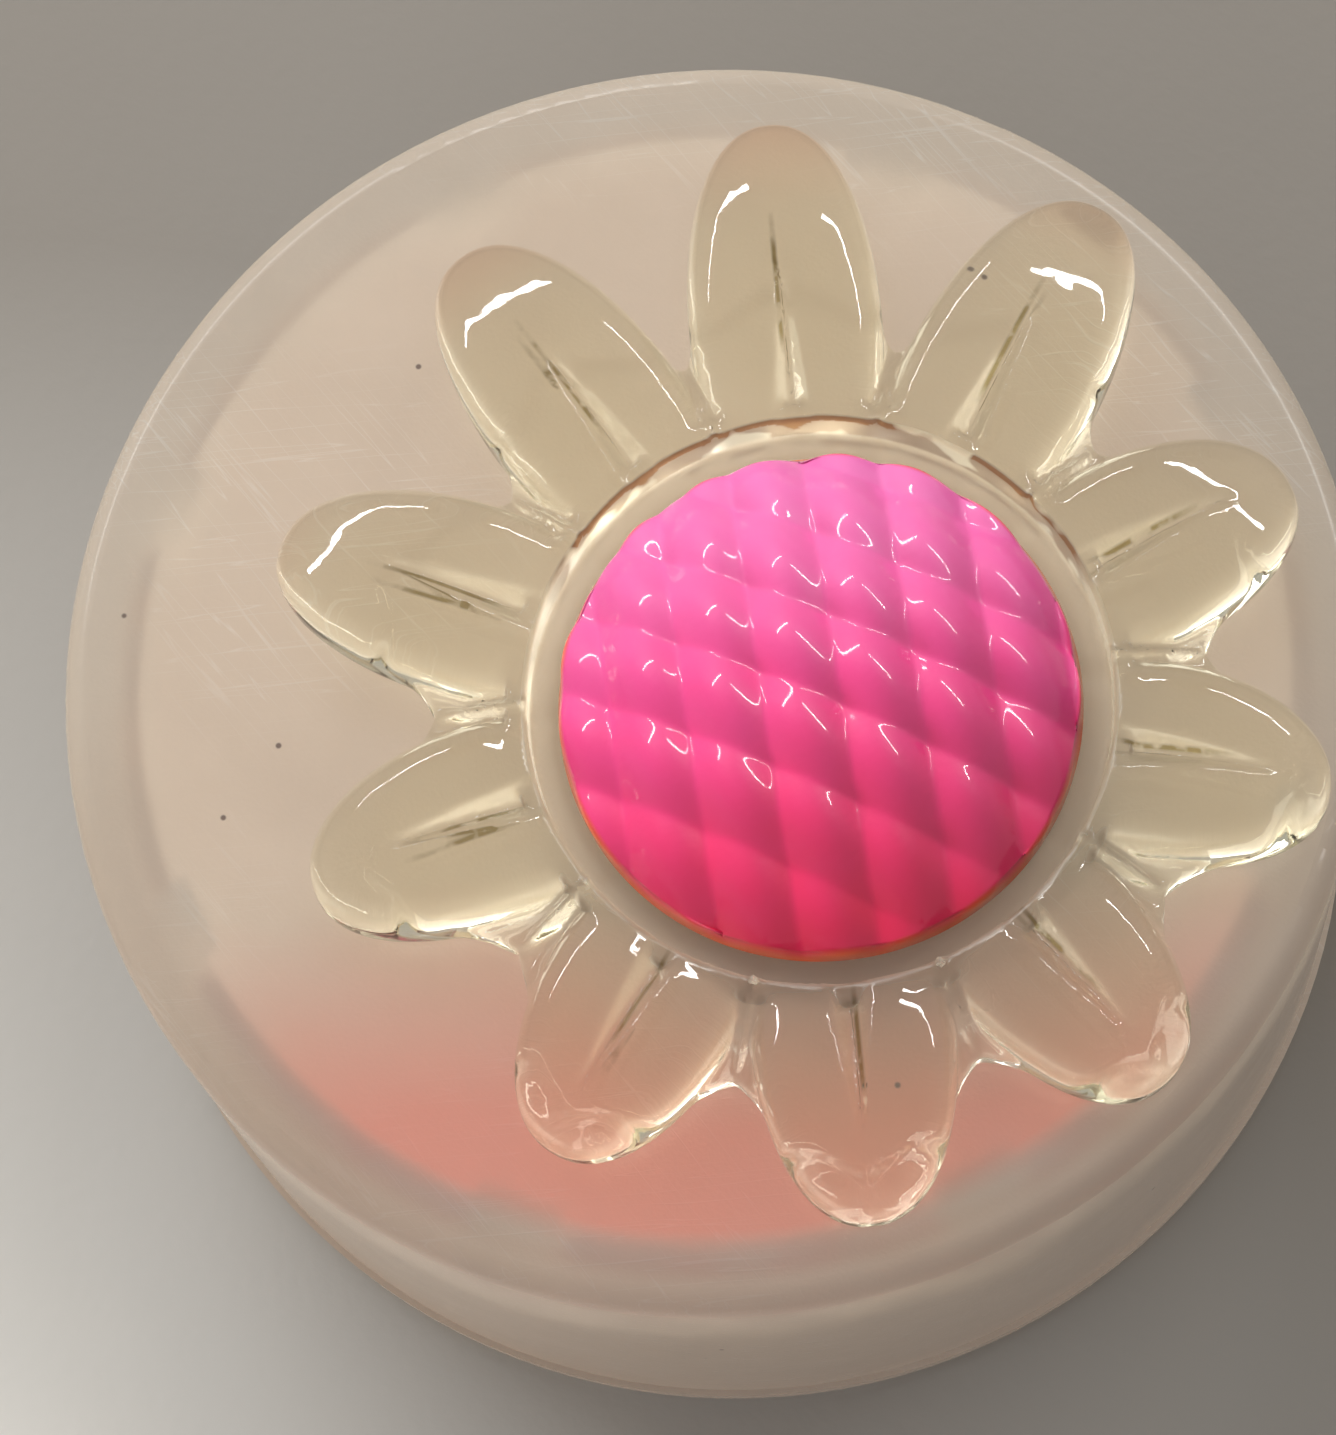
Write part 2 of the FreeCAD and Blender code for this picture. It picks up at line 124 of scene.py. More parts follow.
# each lamp: its two ends as metres to the camera's right, away from it and up, its width,
# its watts and whether it shows in reflections
LAMPS = (
    ("left_tube", ((-1.0, 0.55, 1.0), (-0.18, 1.10, 1.0)), 0.035, 5.0, True),
    ("right_tube", ((0.15, 0.85, 1.0), (1.0, 0.50, 1.0)), 0.035, 5.0, True),
    ("far_panel", ((-1.7, 1.2, 0.9), (0.2, 1.7, 0.9)), 0.9, 25.0, False),
    ("low_left_fill", ((-0.50, -0.10, 0.12), (-0.16, -0.50, 0.12)), 0.14, 0.95, False),
)


def place_about_stem(obj):
    """Move a mesh from millimetres about the stem on the plate into the row's frame."""
    low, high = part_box("daisy_centre")
    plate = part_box("outer_shell")[1].z
    stem = Vector(((low.x + high.x) / 2, (low.y + high.y) / 2, plate))
    obj.data.transform(Matrix.Translation(stem) @ Matrix.Scale(MM, 4))
    return obj


def make_object(name, vertices, faces):
    mesh = bpy.data.meshes.new(name)
    mesh.from_pydata([tuple(v) for v in vertices], [], [tuple(f) for f in faces])
    mesh.validate()
    mesh.shade_smooth()
    mesh.update()
    obj = bpy.data.objects.new(name, mesh)
    bpy.context.scene.collection.objects.link(obj)
    return obj


def smooth_max(a, b, width):
    """The larger of a and b, with the corner between them rounded over this width."""
    overlap = np.maximum(width - np.abs(a - b), 0.0) / width
    return np.maximum(a, b) + overlap * overlap * width / 4


def smooth_min(a, b, width):
    """The smaller of a and b, with the corner between them rounded over this width."""
    return -smooth_max(-a, -b, width)


def petal_top(along, across, reach):
    """Height of a petal's arched, crowned and creased top."""
    share = np.clip((along - CUP_RADIUS) / (reach - CUP_RADIUS), 0.0, 1.0)
    spine = RIM_HEIGHT + (TIP_HEIGHT - RIM_HEIGHT) * share + ARCH_RISE * 4 * share * (1 - share)
    crown = PETAL_CROWN * np.minimum(np.abs(across) / PETAL_HALF, 1.2) ** PETAL_CROWN_POWER
    run = np.clip((along - CUP_RADIUS) / CREASE_LENGTH, 0.0, 1.0)
    half = CREASE_HALF * (1 - run) ** 0.8 + CREASE_END_HALF
    depth = CREASE_DEPTH * (1 - run) ** 0.7
    side = 1 - np.sqrt(across * across + 0.003) / half
    crease = depth * (side + np.sqrt(side * side + 0.005)) / 2
    return spine - crown - crease


def petal_field(along, across, z, reach):
    """Below zero inside one petal that points along the first axis."""
    widest = reach * (1 - PETAL_ROUND)
    outer = along > widest
    length = np.where(outer, reach * PETAL_ROUND, widest - PETAL_ROOT)
    power = np.where(outer, TIP_POWER, ROOT_POWER)
    u = np.abs(along - widest) / length
    v = np.abs(across) / PETAL_HALF
    level = u ** power + v ** SIDE_POWER - 1
    along_slope = power * u ** (power - 1) / length
    across_slope = SIDE_POWER * v ** (SIDE_POWER - 1) / PETAL_HALF
    plan = level / np.maximum(np.hypot(along_slope, across_slope), 0.1)
    body = smooth_max(plan, z - petal_top(along, across, reach), PETAL_EDGE_ROUND)
    return smooth_max(body, LIFT - z, PETAL_UNDER_ROUND)


def daisy_field(x, y, z):
    """Below zero inside the moulded daisy: petals, webs, cup and pad in one piece."""
    radius = np.hypot(x, y)
    direction = np.arctan2(y, x)
    whole = np.full(radius.shape, FAR_OUTSIDE)
    from_middle = np.full(radius.shape, FAR_OUTSIDE)
    turns = [math.radians(turn) for turn, _ in PETALS]
    for i, (_, reach) in enumerate(PETALS):
        off = direction - turns[i]
        along, across = radius * np.cos(off), radius * np.sin(off)
        inner, beyond, aside = NEAR_PETAL
        near = (along > inner) & (along < reach + beyond) & (np.abs(across) < aside)
        petal = petal_field(along[near], across[near], z[near], reach)
        whole[near] = smooth_min(whole[near], petal, PETAL_JOIN)
        following = turns[i + 1] if i + 1 < len(turns) else turns[0] + 2 * math.pi
        off = direction - (turns[i] + following) / 2
        ahead = np.cos(off) > 0
        away = np.where(ahead, np.abs(radius * np.sin(off)), FAR_OUTSIDE)
        from_middle = np.minimum(from_middle, away)
    fall = np.clip(1 - (radius - CUP_RADIUS) / (WEB_REACH - CUP_RADIUS), 0.0, 1.0)
    web_top = WEB_TOP + np.maximum(RIDGE_RISE * fall - RIDGE_SLOPE * from_middle, 0.0)
    ripple = RIPPLE_RISE * np.sqrt(fall)
    web_top = web_top + ripple * np.cos(2 * math.pi * from_middle / RIPPLE_PITCH)
    web = smooth_max(radius - WEB_REACH - 0.5 * from_middle, z - web_top, 0.5)
    web = smooth_max(web, LIFT - z, 0.3)
    collar_side = np.abs(radius - CUP_RADIUS - COLLAR_MIDDLE) - COLLAR_HALF
    collar = smooth_max(collar_side, z - RIM_HEIGHT + 0.1, 0.35)
    collar = np.maximum(collar, LIFT - z)
    pad = np.maximum(np.maximum(radius - PAD_RADIUS, PAD_UNDER - z), z - WEB_TOP)
    whole = smooth_min(whole, web, WEB_JOIN)
    whole = smooth_min(whole, collar, COLLAR_JOIN)
    whole = np.minimum(whole, pad)
    cup = smooth_max(radius - CUP_RADIUS, CUP_FLOOR - z, 0.3)
    whole = smooth_max(whole, -cup, 0.15)
    return np.maximum(whole, HOLE_RADIUS - radius)


def surface_net(field, low, step):
    """Vertices and outward quads of a field's zero surface, one vertex per crossed cell."""
    cells = tuple(n - 1 for n in field.shape)
    inside = field < 0
    crossings = np.zeros(cells, np.float32)
    place = np.zeros(cells + (3,), np.float32)
    crossed_edges = []
    for axis in range(3):
        u, v = (axis + 1) % 3, (axis + 2) % 3
        count = field.shape[axis]
        here = np.take(field, range(count - 1), axis)
        there = np.take(field, range(1, count), axis)
        crossed = (here < 0) != (there < 0)
        share = np.where(crossed, here / np.where(crossed, here - there, 1.0), 0.0)
        crossed_edges.append(crossed)
        for du, dv in itertools.product((0, 1), repeat=2):
            window = [slice(None)] * 3
            window[u] = slice(du, du + cells[u])
            window[v] = slice(dv, dv + cells[v])
            window = tuple(window)
            crossings += crossed[window]
            place[..., axis] += share[window]
            place[..., u] += crossed[window] * du
            place[..., v] += crossed[window] * dv
    active = crossings > 0
    number = np.full(cells, -1, np.int64)
    number[active] = np.arange(int(active.sum()))
    corner = np.argwhere(active).astype(np.float64)
    vertices = low + step * (corner + place[active] / crossings[active][:, None])
    quads = []
    for axis in range(3):
        u, v = (axis + 1) % 3, (axis + 2) % 3
        edge = np.argwhere(crossed_edges[axis])
        inner = (edge[:, u] > 0) & (edge[:, v] > 0)
        inner &= (edge[:, u] < cells[u]) & (edge[:, v] < cells[v])
        edge = edge[inner]
        ring = []
        for du, dv in ((-1, -1), (0, -1), (0, 0), (-1, 0)):
            cell = edge.copy()
            cell[:, u] += du
            cell[:, v] += dv
            ring.append(number[tuple(cell.T)])
        ring = np.stack(ring, 1)
        leaving = inside[tuple(edge.T)]
        quads.append(np.where(leaving[:, None], ring, ring[:, ::-1]))
    return vertices, np.concatenate(quads)


def settle(vertices, function, rounds=3):
    """Pull vertices onto the function's zero surface, at most a little each time."""
    small = 0.01
    for _ in range(rounds):
        x, y, z = vertices.T
        value = function(x, y, z)
        gradient = np.stack([
            function(x + small, y, z) - function(x - small, y, z),
            function(x, y + small, z) - function(x, y - small, z),
            function(x, y, z + small) - function(x, y, z - small),
        ], 1) / (2 * small)
        length = np.maximum((gradient ** 2).sum(1), 0.25)
        move = np.clip(value / length, -0.08, 0.08)
        vertices = vertices - gradient * move[:, None]
    return vertices


def build_daisy():
    far = max(reach for _, reach in PETALS) + 1.0
    low = np.array([-far, -far, -0.4])
    counts = [int(math.ceil(span / GRID)) for span in (2 * far, 2 * far, 5.8)]
    axes = [low[i] + GRID * np.arange(counts[i]) for i in range(3)]
    x, y, z = np.meshgrid(*axes, indexing="ij")
    vertices, quads = surface_net(daisy_field(x, y, z), low, GRID)
    vertices = settle(vertices, daisy_field)
    return place_about_stem(make_object("clear_daisy", vertices, quads))


def dome_groove(x, y):
    """How far the crossed grooves cut into the dome at a point, leaving pillows between them."""
    cut = np.zeros_like(x)
    for direction, pitch, depth, shift in GROOVES:
        angle = math.radians(direction)
        off = -x * math.sin(angle) + y * math.cos(angle) - shift
        cut = cut + depth * (1.01 - np.sqrt(np.sin(math.pi * off / pitch) ** 2 + 0.02))
    return cut


def build_dome():
    """The dome with its grooves, its side, its foot and its stem, as one closed turned form."""
    cap = (DOME_RADIUS ** 2 + DOME_RISE ** 2) / (2 * DOME_RISE)
    top_base = DOME_BASE + DOME_SIDE
    turns = np.linspace(0, 2 * math.pi, DOME_SEGMENTS, endpoint=False)
    ca, sa = np.cos(turns), np.sin(turns)
    vertices, loops = [], []

    def add_ring(x, y, z):
        loops.append(range(len(vertices), len(vertices) + DOME_SEGMENTS))
        vertices.extend(zip(x, y, np.broadcast_to(z, x.shape)))

    def cap_height(radius):
        return top_base + math.sqrt(cap * cap - radius * radius) - (cap - DOME_RISE)

    for radius in np.linspace(AXIS_RADIUS, DOME_RADIUS - DOME_EDGE_ROUND, DOME_RINGS):
        x, y = radius * ca, radius * sa
        add_ring(x, y, cap_height(radius) - dome_groove(x, y))
    rim_x, rim_y = DOME_RADIUS * ca, DOME_RADIUS * sa
    cut = dome_groove(rim_x, rim_y)
    for inset, drop in ((0.10, 0.10), (0.02, 0.30), (0.0, 0.55)):
        edge = DOME_RADIUS - inset - 0.35 * cut
        add_ring(edge * ca, edge * sa, top_base + 0.1 - drop - 0.8 * cut * (1 - drop))
    bottom = [
        (DOME_RADIUS, DOME_BASE + DOME_EDGE_ROUND),
        (DOME_RADIUS - 0.06, DOME_BASE + 0.06),
        (DOME_RADIUS - DOME_EDGE_ROUND, DOME_BASE),
        (STEM_RADIUS, DOME_BASE),
        (STEM_RADIUS, STEM_GROOVE_TOP),
        (STEM_GROOVE_RADIUS, STEM_GROOVE_TOP),
        (STEM_GROOVE_RADIUS, STEM_GROOVE_BOTTOM),
        (STEM_RADIUS, STEM_GROOVE_BOTTOM),
        (STEM_RADIUS, STEM_END + STEM_BEVEL),
        (STEM_RADIUS - STEM_BEVEL, STEM_END),
        (AXIS_RADIUS, STEM_END),
    ]
    for radius, height in bottom:
        add_ring(radius * ca, radius * sa, height)
    faces = []
    for upper, lower in zip(loops, loops[1:]):
        for i in range(DOME_SEGMENTS):
            j = (i + 1) % DOME_SEGMENTS
            faces.append((upper[i], lower[i], lower[j], upper[j]))
    faces.append(tuple(loops[0]))
    faces.append(tuple(reversed(loops[-1])))
    return place_about_stem(make_object("neon_dome", vertices, faces))


def new_material(name):
    material = bpy.data.materials.new(name)
    material.use_nodes = True
    tree = material.node_tree
    shader = tree.nodes.get("Principled BSDF")
    return material, tree, shader


def node(tree, kind, **settings):
    """A new node; settings that start with in_ go to its inputs of that name."""
    made = tree.nodes.new(kind)
    for key, value in settings.items():
        if key.startswith("in_"):
            made.inputs[key[3:].replace("_", " ")].default_value = value
        else:
            setattr(made, key, value)
    return made


def srgb(*channels):
    """A colour given as it looks on screen, 0 to 255, turned into linear light."""
    linear = []
    for c in channels:
        c = c / 255
        linear.append(c / 12.92 if c <= 0.04045 else ((c + 0.055) / 1.055) ** 2.4)
    return (*linear, 1.0)


def millimetres(tree, centre=(0, 0, 0), turn=0.0, stretch=(1, 1, 1)):
    """The piece's own coordinates in millimetres from a centre, with the first along turn."""
    place = node(tree, "ShaderNodeTexCoord")
    mapping = node(tree, "ShaderNodeMapping", vector_type="TEXTURE")
    mapping.inputs["Location"].default_value = [MM * c for c in centre]
    mapping.inputs["Rotation"].default_value = (0, 0, math.radians(turn))
    mapping.inputs["Scale"].default_value = [MM / factor for factor in stretch]
    tree.links.new(place.outputs["Object"], mapping.inputs["Vector"])
    return mapping.outputs["Vector"]


def noise(tree, point, scale, detail=3.0, distortion=0.0):
    made = node(tree, "ShaderNodeTexNoise", in_Scale=scale, in_Detail=detail,
                in_Distortion=distortion)
    tree.links.new(point, made.inputs["Vector"])
    return made.outputs["Fac"]


def ramp(tree, factor, stops):
    """A colour ramp with these (position, colour or grey) stops."""
    made = node(tree, "ShaderNodeValToRGB")
    elements = made.color_ramp.elements
    while len(elements) < len(stops):
        elements.new(0.5)
    for element, (position, colour) in zip(elements, stops):
        element.position = position
        element.color = colour if isinstance(colour, tuple) else (colour, colour, colour, 1.0)
    tree.links.new(factor, made.inputs["Fac"])
    return made.outputs["Color"]


def math_node(tree, operation, first, second):
    made = node(tree, "ShaderNodeMath", operation=operation)
    for socket, value in zip(made.inputs, (first, second)):
        if isinstance(value, (int, float)):
            socket.default_value = value
        else:
            tree.links.new(value, socket)
    return made.outputs[0]


def blend(tree, factor, first, second):
    """first where the factor is 0 and second where it is 1, both colours or colour sockets."""
    made = node(tree, "ShaderNodeMix", data_type="RGBA")
    tree.links.new(factor, made.inputs["Factor"])
    for socket, value in zip((made.inputs["A"], made.inputs["B"]), (first, second)):
        if isinstance(value, tuple):
            socket.default_value = value
        else:
            tree.links.new(value, socket)
    return made.outputs["Result"]


def bump(tree, shader, height, strength, distance):
    made = node(tree, "ShaderNodeBump", in_Strength=strength, in_Distance=distance)
    tree.links.new(height, made.inputs["Height"])
    tree.links.new(made.outputs["Normal"], shader.inputs["Normal"])


def distance_from_axis(tree, centre):
    """How far a point is, in millimetres, from an upright axis through the centre."""
    apart = node(tree, "ShaderNodeSeparateXYZ")
    tree.links.new(millimetres(tree, centre), apart.inputs[0])
    across = math_node(tree, "MULTIPLY", apart.outputs["X"], apart.outputs["X"])
    along = math_node(tree, "MULTIPLY", apart.outputs["Y"], apart.outputs["Y"])
    return math_node(tree, "SQRT", math_node(tree, "ADD", across, along), 0.0)


def near_side(tree, start, end):
    """0 on the far side of the cap, rising to 1 on its near side over a wavy line."""
    apart = node(tree, "ShaderNodeSeparateXYZ")
    tree.links.new(millimetres(tree, turn=-55), apart.inputs[0])
    drift = math_node(tree, "MULTIPLY", noise(tree, millimetres(tree), 0.07, 2.0, 0.4), 9.0)
    along = math_node(tree, "DIVIDE", math_node(tree, "ADD", apart.outputs["X"], drift), 60.0)
    return ramp(tree, along, ((start, 0.0), (end, 1.0)))


def dress(obj, material):
    obj.data.materials.clear()
    obj.data.materials.append(material)


def let_light_through(tree, shader, tint):
    """Lamps and scattered light pass straight through, so a clear piece casts no black shadow."""
    output = tree.nodes["Material Output"]
    path = node(tree, "ShaderNodeLightPath")
    either = node(tree, "ShaderNodeMath", operation="MAXIMUM")
    clear = node(tree, "ShaderNodeBsdfTransparent")
    clear.inputs["Color"].default_value = tint
    mix = node(tree, "ShaderNodeMixShader")
    tree.links.new(path.outputs["Is Shadow Ray"], either.inputs[0])
    tree.links.new(path.outputs["Is Diffuse Ray"], either.inputs[1])
    tree.links.new(either.outputs[0], mix.inputs["Fac"])
    tree.links.new(shader.outputs[0], mix.inputs[1])
    tree.links.new(clear.outputs[0], mix.inputs[2])
    tree.links.new(mix.outputs[0], output.inputs["Surface"])


def crease_shade_lines(tree):
    """1 on a thin broken line down the crease of each petal, where dark shade is painted, 0
    elsewhere.
    """
    lines = None
    for turn, reach in PETALS:
        apart = node(tree, "ShaderNodeSeparateXYZ")
        tree.links.new(millimetres(tree, STEM_CENTRE, turn=turn), apart.inputs[0])
        across = math_node(tree, "ADD", apart.outputs["Y"], 0.25)
        thin = ramp(tree, across, ((0.30, 0.0), (0.42, 1.0), (0.52, 1.0), (0.64, 0.0)))
        along = math_node(tree, "DIVIDE", apart.outputs["X"], reach)
        part = ramp(tree, along, ((0.56, 0.0), (0.60, 1.0), (0.74, 1.0), (0.82, 0.0)))
        line = math_node(tree, "MULTIPLY", thin, part)
        lines = line if lines is None else math_node(tree, "MAXIMUM", lines, line)
    broken = ramp(tree, noise(tree, millimetres(tree), 0.9, 2.0), ((0.40, 0.25), (0.52, 1.0)))
    return math_node(tree, "MULTIPLY", lines, broken)


def clear_petal_material():
    """Clear yellow-green moulding with a frosted cup painted darker as shade, tips painted pinkish
    as a refraction of the pink below, a painted refraction arc on the cup rim and painted dark
    shade lines down the creases.
    """
    material, tree, shader = new_material("clear_petals")
    out = math_node(tree, "DIVIDE", distance_from_axis(tree, STEM_CENTRE), 1.25 * CUP_RADIUS)
    # painted shade: the cup ring under the dome is painted darker, where less light gets through
    clear, cup = (0.98, 0.98, 0.93, 1.0), (0.86, 0.80, 0.73, 1.0)
    tint = ramp(tree, out, ((0.69, clear), (0.72, cup), (0.80, cup), (0.815, clear)))
    # painted refraction: a broken dark-brown arc on the far side of the cup rim, where the pink
    # centre shows bent through the rim
    ring = ramp(tree, out, ((0.797, 0.0), (0.80, 1.0), (0.811, 1.0), (0.815, 0.0)))
    broken = ramp(tree, noise(tree, millimetres(tree), 0.3, 2.0), ((0.44, 0.0), (0.5, 1.0)))
    apart = node(tree, "ShaderNodeSeparateXYZ")
    tree.links.new(millimetres(tree, STEM_CENTRE, turn=120), apart.inputs[0])
    ahead = math_node(tree, "DIVIDE", apart.outputs["X"], CUP_RADIUS)
    far = ramp(tree, ahead, ((0.35, 0.0), (0.5, 1.0)))
    rim_refraction = math_node(tree, "MULTIPLY", math_node(tree, "MULTIPLY", ring, broken), far)
    # painted refraction: the petal tips are painted pinkish, as the pink below seen bent through
    # them
    tips = math_node(tree, "DIVIDE", distance_from_axis(tree, STEM_CENTRE), 30.0)
    tint = blend(tree, ramp(tree, tips, ((0.80, 0.0), (0.94, 1.0))), tint, (0.97, 0.85, 0.77, 1.0))
    tint = blend(tree, rim_refraction, tint, srgb(104, 62, 36))
    # painted shade: a dark olive line down each crease
    tint = blend(tree, crease_shade_lines(tree), tint, srgb(136, 124, 78))
    tree.links.new(tint, shader.inputs["Base Color"])
    shader.inputs["Transmission Weight"].default_value = 1.0
    shader.inputs["IOR"].default_value = 1.47
    frosted = ramp(tree, out, ((0.74, 0.35), (0.76, 0.60), (0.80, 0.60), (0.825, 0.03)))
    tree.links.new(frosted, shader.inputs["Roughness"])
    waves = noise(tree, millimetres(tree), 0.35, 2.0)
    bump(tree, shader, waves, 0.08, 0.0006)
    absorb = node(tree, "ShaderNodeVolumeAbsorption")
    absorb.inputs["Color"].default_value = (0.60, 0.56, 0.22, 1.0)
    absorb.inputs["Density"].default_value = 50.0
    tree.links.new(absorb.outputs[0], tree.nodes["Material Output"].inputs["Volume"])
    let_light_through(tree, shader, (0.965, 0.955, 0.935, 1.0))
    return material


def frosted_material():
    """Milky moulded plastic, scratched and specked, with salmon painted on its near side where the
    far-side glare fades, painted shade round its near edge and a faint painted glow.
    """
    material, tree, shader = new_material("frosted_shell")
    point = millimetres(tree)
    clouds = noise(tree, point, 0.09, 5.0, 0.4)
    base = ramp(tree, clouds, ((0.3, srgb(222, 208, 188)), (0.7, srgb(233, 220, 201))))
    patches = ramp(tree, noise(tree, point, 0.05, 1.0), ((0.42, 0.0), (0.56, 1.0)))
    first = noise(tree, millimetres(tree, turn=35, stretch=(0.05, 1.6, 1)), 0.8, 2.0)
    second = noise(tree, millimetres(tree, turn=-20, stretch=(0.05, 1.3, 1)), 0.8, 2.0)
    lines = [ramp(tree, n, ((0.49, 0.0), (0.5, 1.0), (0.51, 0.0))) for n in (first, second)]
    scratches = math_node(tree, "MULTIPLY", math_node(tree, "MAXIMUM", *lines), patches)
    base = blend(tree, math_node(tree, "MULTIPLY", scratches, 0.8), base, srgb(244, 238, 226))
    out = math_node(tree, "DIVIDE", distance_from_axis(tree, (0, 0, 0)), 30.0)
    inside = ramp(tree, out, ((0.88, 1.0), (0.92, 0.0)))
    # painted glare falloff: salmon painted on the near side of the plate, where the pink inside
    # shows through as the far-side glare fades
    painted_glare_salmon = math_node(tree, "MULTIPLY", near_side(tree, *SALMON_SIDE), inside)
    base = blend(tree, math_node(tree, "MULTIPLY", painted_glare_salmon, 0.7), base, srgb(236, 140, 112))
    outside = ramp(tree, out, ((0.88, 0.0), (0.94, 1.0)))
    shaded = math_node(tree, "MULTIPLY", near_side(tree, 0.05, 0.40), outside)
    base = blend(tree, math_node(tree, "MULTIPLY", shaded, 0.6), base, srgb(190, 160, 134))
    cells = node(tree, "ShaderNodeTexVoronoi", in_Scale=0.2)
    tree.links.new(point, cells.inputs["Vector"])
    specks = ramp(tree, cells.outputs["Distance"], ((0.022, 1.0), (0.034, 0.0)))
    base = blend(tree, specks, base, srgb(70, 50, 38))
    tree.links.new(base, shader.inputs["Base Color"])
    frost = ramp(tree, noise(tree, point, 0.3, 4.0), ((0.3, 0.58), (0.7, 0.72)))
    tree.links.new(frost, shader.inputs["Roughness"])
    shader.inputs["Transmission Weight"].default_value = 0.70
    shader.inputs["Coat Weight"].default_value = 0.5
    shader.inputs["Coat Roughness"].default_value = 0.2
    # a faint painted glow that lifts the milky plastic, though it is no lamp
    shader.inputs["Emission Color"].default_value = srgb(255, 246, 238)
    shader.inputs["Emission Strength"].default_value = 0.065
    shader.inputs["IOR"].default_value = 1.45
    grain = math_node(tree, "ADD", noise(tree, point, 5.0, 2.0), scratches)
    bump(tree, shader, grain, 0.12, 0.0001)
    let_light_through(tree, shader, (0.70, 0.66, 0.60, 1.0))
    return material


def pink_insert_material():
    """Pink moulding with painted glare: washed out on its far side and deeper on its near side."""
    material, tree, shader = new_material("pink_insert")
    # painted glare: the far side is painted pale and washed out, the near side deep pink
    shade = blend(tree, near_side(tree, *SALMON_SIDE), srgb(218, 176, 146), srgb(238, 66, 40))
    tree.links.new(shade, shader.inputs["Base Color"])
    tree.links.new(ramp(tree, noise(tree, millimetres(tree), 2.0), ((0.3, 0.35), (0.7, 0.5))),
                   shader.inputs["Roughness"])
    return material


def foam_material():
    """White closed-cell foam."""
    material, tree, shader = new_material("liner_foam")
    cells = node(tree, "ShaderNodeTexVoronoi", in_Scale=4.0)
    tree.links.new(millimetres(tree), cells.inputs["Vector"])
    pale, shadowed = srgb(240, 239, 234), srgb(214, 212, 205)
    shade = ramp(tree, cells.outputs["Distance"], ((0.1, pale), (0.8, shadowed)))
    tree.links.new(shade, shader.inputs["Base Color"])
    shader.inputs["Roughness"].default_value = 0.85
    bump(tree, shader, cells.outputs["Distance"], 0.3, 0.0001)
    return material


def steel_material():
    """Sheet steel with the fine grain of a tumbled part."""
    material, tree, shader = new_material("ring_steel")
    grain = noise(tree, millimetres(tree), 9.0, 4.0)
    shade = ramp(tree, grain, ((0.3, srgb(165, 166, 170)), (0.7, srgb(206, 206, 207))))
    tree.links.new(shade, shader.inputs["Base Color"])
    shader.inputs["Metallic"].default_value = 1.0
    tree.links.new(ramp(tree, grain, ((0.3, 0.24), (0.7, 0.38))), shader.inputs["Roughness"])
    return material


def neon_material():
    """Neon pink plastic with painted light: paler on its far side where the lamps fall and deeper
    on its near side; orange at its rim.
    """
    material, tree, shader = new_material("neon_centre")
    out = distance_from_axis(tree, STEM_CENTRE)
    rim = ramp(tree, math_node(tree, "DIVIDE", out, DOME_RADIUS), ((0.975, 0.0), (0.995, 1.0)))
    clouds = noise(tree, millimetres(tree), 0.25, 4.0)
    # painted light: the dome is painted paler towards the far side, where the lamps are, and
    # deeper towards the near side
    apart = node(tree, "ShaderNodeSeparateXYZ")
    tree.links.new(millimetres(tree, STEM_CENTRE, turn=125), apart.inputs[0])
    far = math_node(tree, "MULTIPLY", apart.outputs["X"], 1.0 / (2 * DOME_RADIUS))
    far = math_node(tree, "ADD", far, math_node(tree, "MULTIPLY", clouds, 0.2))
    far = math_node(tree, "ADD", far, 0.4)
    deep, middle, light = srgb(255, 34, 92), srgb(255, 76, 152), srgb(255, 124, 196)
    shade = ramp(tree, far, ((0.05, deep), (0.5, middle), (0.95, light)))
    shade = blend(tree, rim, shade, srgb(255, 96, 40))
    tree.links.new(shade, shader.inputs["Base Color"])
    shader.inputs["Roughness"].default_value = 0.45
    shader.inputs["Coat Weight"].default_value = 0.8
    shader.inputs["Coat Roughness"].default_value = 0.07
    bump(tree, shader, noise(tree, millimetres(tree), 3.0, 3.0), 0.06, 0.0002)
    return material


def floor_material():
    """Warm grey, with a painted pool of light as a soft pale patch on the near left."""
    material, tree, shader = new_material("floor")
    point = millimetres(tree)
    darker, lighter = srgb(146, 139, 130), srgb(151, 144, 135)
    shade = ramp(tree, noise(tree, point, 0.02, 3.0), ((0.3, darker), (0.7, lighter)))
    # painted light: a pool of light painted as a pale patch on the near left of the floor
    out = math_node(tree, "DIVIDE", distance_from_axis(tree, (-9.0, -77.0, 0)), 95.0)
    painted_light_pool = ramp(tree, out, ((0.2, 1.0), (1.0, 0.0)))
    shade = blend(tree, painted_light_pool, shade, srgb(240, 237, 230))
    tree.links.new(shade, shader.inputs["Base Color"])
    shader.inputs["Roughness"].default_value = 0.6
    bump(tree, shader, noise(tree, point, 1.2, 4.0), 0.1, 0.0002)
    return material


def build_floor():
    size = FLOOR_HALF
    corners = [(-size, -size, 0), (size, -size, 0), (size, size, 0), (-size, size, 0)]
    floor = make_object("floor", corners, [(0, 1, 2, 3)])
    floor.location.z = -FLOOR_DROP
    floor.data.materials.append(floor_material())


def aim(obj, place, target, up):
    """Stand a lamp at place, facing target, with its height along up."""
    back = (Vector(place) - Vector(target)).normalized()
    right = up.cross(back).normalized()
    true_up = back.cross(right)
    turn = Matrix((right, true_up, back)).transposed().to_4x4()
    obj.matrix_world = Matrix.Translation(Vector(place)) @ turn


